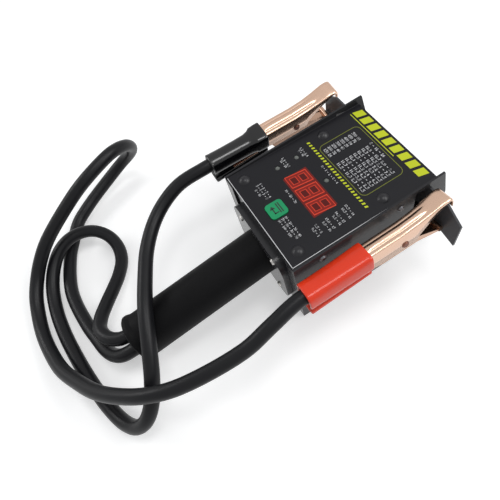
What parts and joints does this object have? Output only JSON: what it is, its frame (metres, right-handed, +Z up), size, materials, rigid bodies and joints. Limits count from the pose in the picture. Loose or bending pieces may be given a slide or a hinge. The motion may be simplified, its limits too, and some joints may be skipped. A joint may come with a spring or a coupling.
{
  "type": "battery tester",
  "caption": "Handheld battery load tester: black sheet-metal case with a display face, a round handle, and two spring clamps on leads parked on ears at its sides.",
  "frame": {"origin": "middle of the case's flat base, on the surface that the tester lies on", "axes": "+X to the red clamp's side, +Y from the handle towards the top of the display face, +Z up out of the display face"},
  "size_m": [0.2417, 0.2965, 0.082],
  "materials": {
    "case_paint": "satin black powder coat",
    "overlay_film": "charcoal printed film",
    "dome_heads": "film-covered dome heads",
    "steel": "zinc plated",
    "display_red": "translucent red filter",
    "module_dark": "dark red digits block",
    "lamp": "clear unlit lamp",
    "key_green": "green silicone",
    "black_plastic": "moulded black",
    "board_green": "solder mask",
    "nichrome": "heat-tinted resistance strip",
    "ceramic": "unglazed ceramic",
    "grip_foam": "matte black grip",
    "lead_rubber": "matte black jacket",
    "copper_plate": "copper-plated steel",
    "black_vinyl": "glossy dipped vinyl",
    "red_vinyl": "glossy dipped vinyl"
  },
  "bodies": {
    "root": {"side_wall_left": "case_paint", "side_wall_right": "case_paint", "end_plate": "case_paint", "vent_plate": "case_paint", "base_cover": "case_paint", "clamp_rest": "case_paint", "face_panel": "case_paint", "face_overlay": "overlay_film", "face_studs": "dome_heads", "side_screws": "steel", "display_window": "display_red", "display_module": "module_dark", "led_polarity": "lamp", "led_volts": "lamp", "led_load": "lamp", "key_switch": "black_plastic", "circuit_board": "board_green", "board_standoffs": "steel", "board_nuts": "steel", "relay": "black_plastic", "load_strip": "nichrome", "load_insulators": "ceramic", "handle_flange": "case_paint", "handle_screws": "steel", "handle_tube": "steel", "handle_grip": "grip_foam", "lead_grommet": "black_plastic", "inner_lead_black": "lead_rubber", "inner_lead_red": "lead_rubber", "lead_black": "lead_rubber", "lead_red": "lead_rubber", "black_upper_jaw": "copper_plate", "black_rivet": "copper_plate", "black_spring": "steel", "black_crimp": "copper_plate", "black_upper_boot": "black_vinyl", "red_upper_jaw": "copper_plate", "red_rivet": "copper_plate", "red_spring": "steel", "red_crimp": "copper_plate", "red_upper_boot": "red_vinyl"},
    "key": {"key_cap": "key_green"},
    "black_jaw": {"black_lower_jaw": "copper_plate", "black_lower_boot": "black_vinyl"},
    "red_jaw": {"red_lower_jaw": "copper_plate", "red_lower_boot": "red_vinyl"}
  },
  "joints": [
    {"name": "key_press", "type": "slide", "parent": "root", "child": "key", "axis": [0, 0, -1], "range_m": [0, 0.0008], "stiffness_N_per_m": 1200, "springref_m": -0.0004},
    {"name": "black_clamp_hinge", "type": "hinge", "parent": "root", "child": "black_jaw", "pos_m": [-0.0705, 0.0105, 0.061], "axis": [-0.9877, 0, 0.1564], "range_deg": [0, 6], "stiffness_Nm_per_rad": 0.5, "springref_deg": -11.46, "deforming": ["black_spring"]},
    {"name": "red_clamp_hinge", "type": "hinge", "parent": "root", "child": "red_jaw", "pos_m": [0.0555, 0.0105, 0.061], "axis": [-0.9877, 0, -0.1564], "range_deg": [0, 4], "stiffness_Nm_per_rad": 0.5, "springref_deg": -11.46, "deforming": ["red_spring"]}
  ]
}
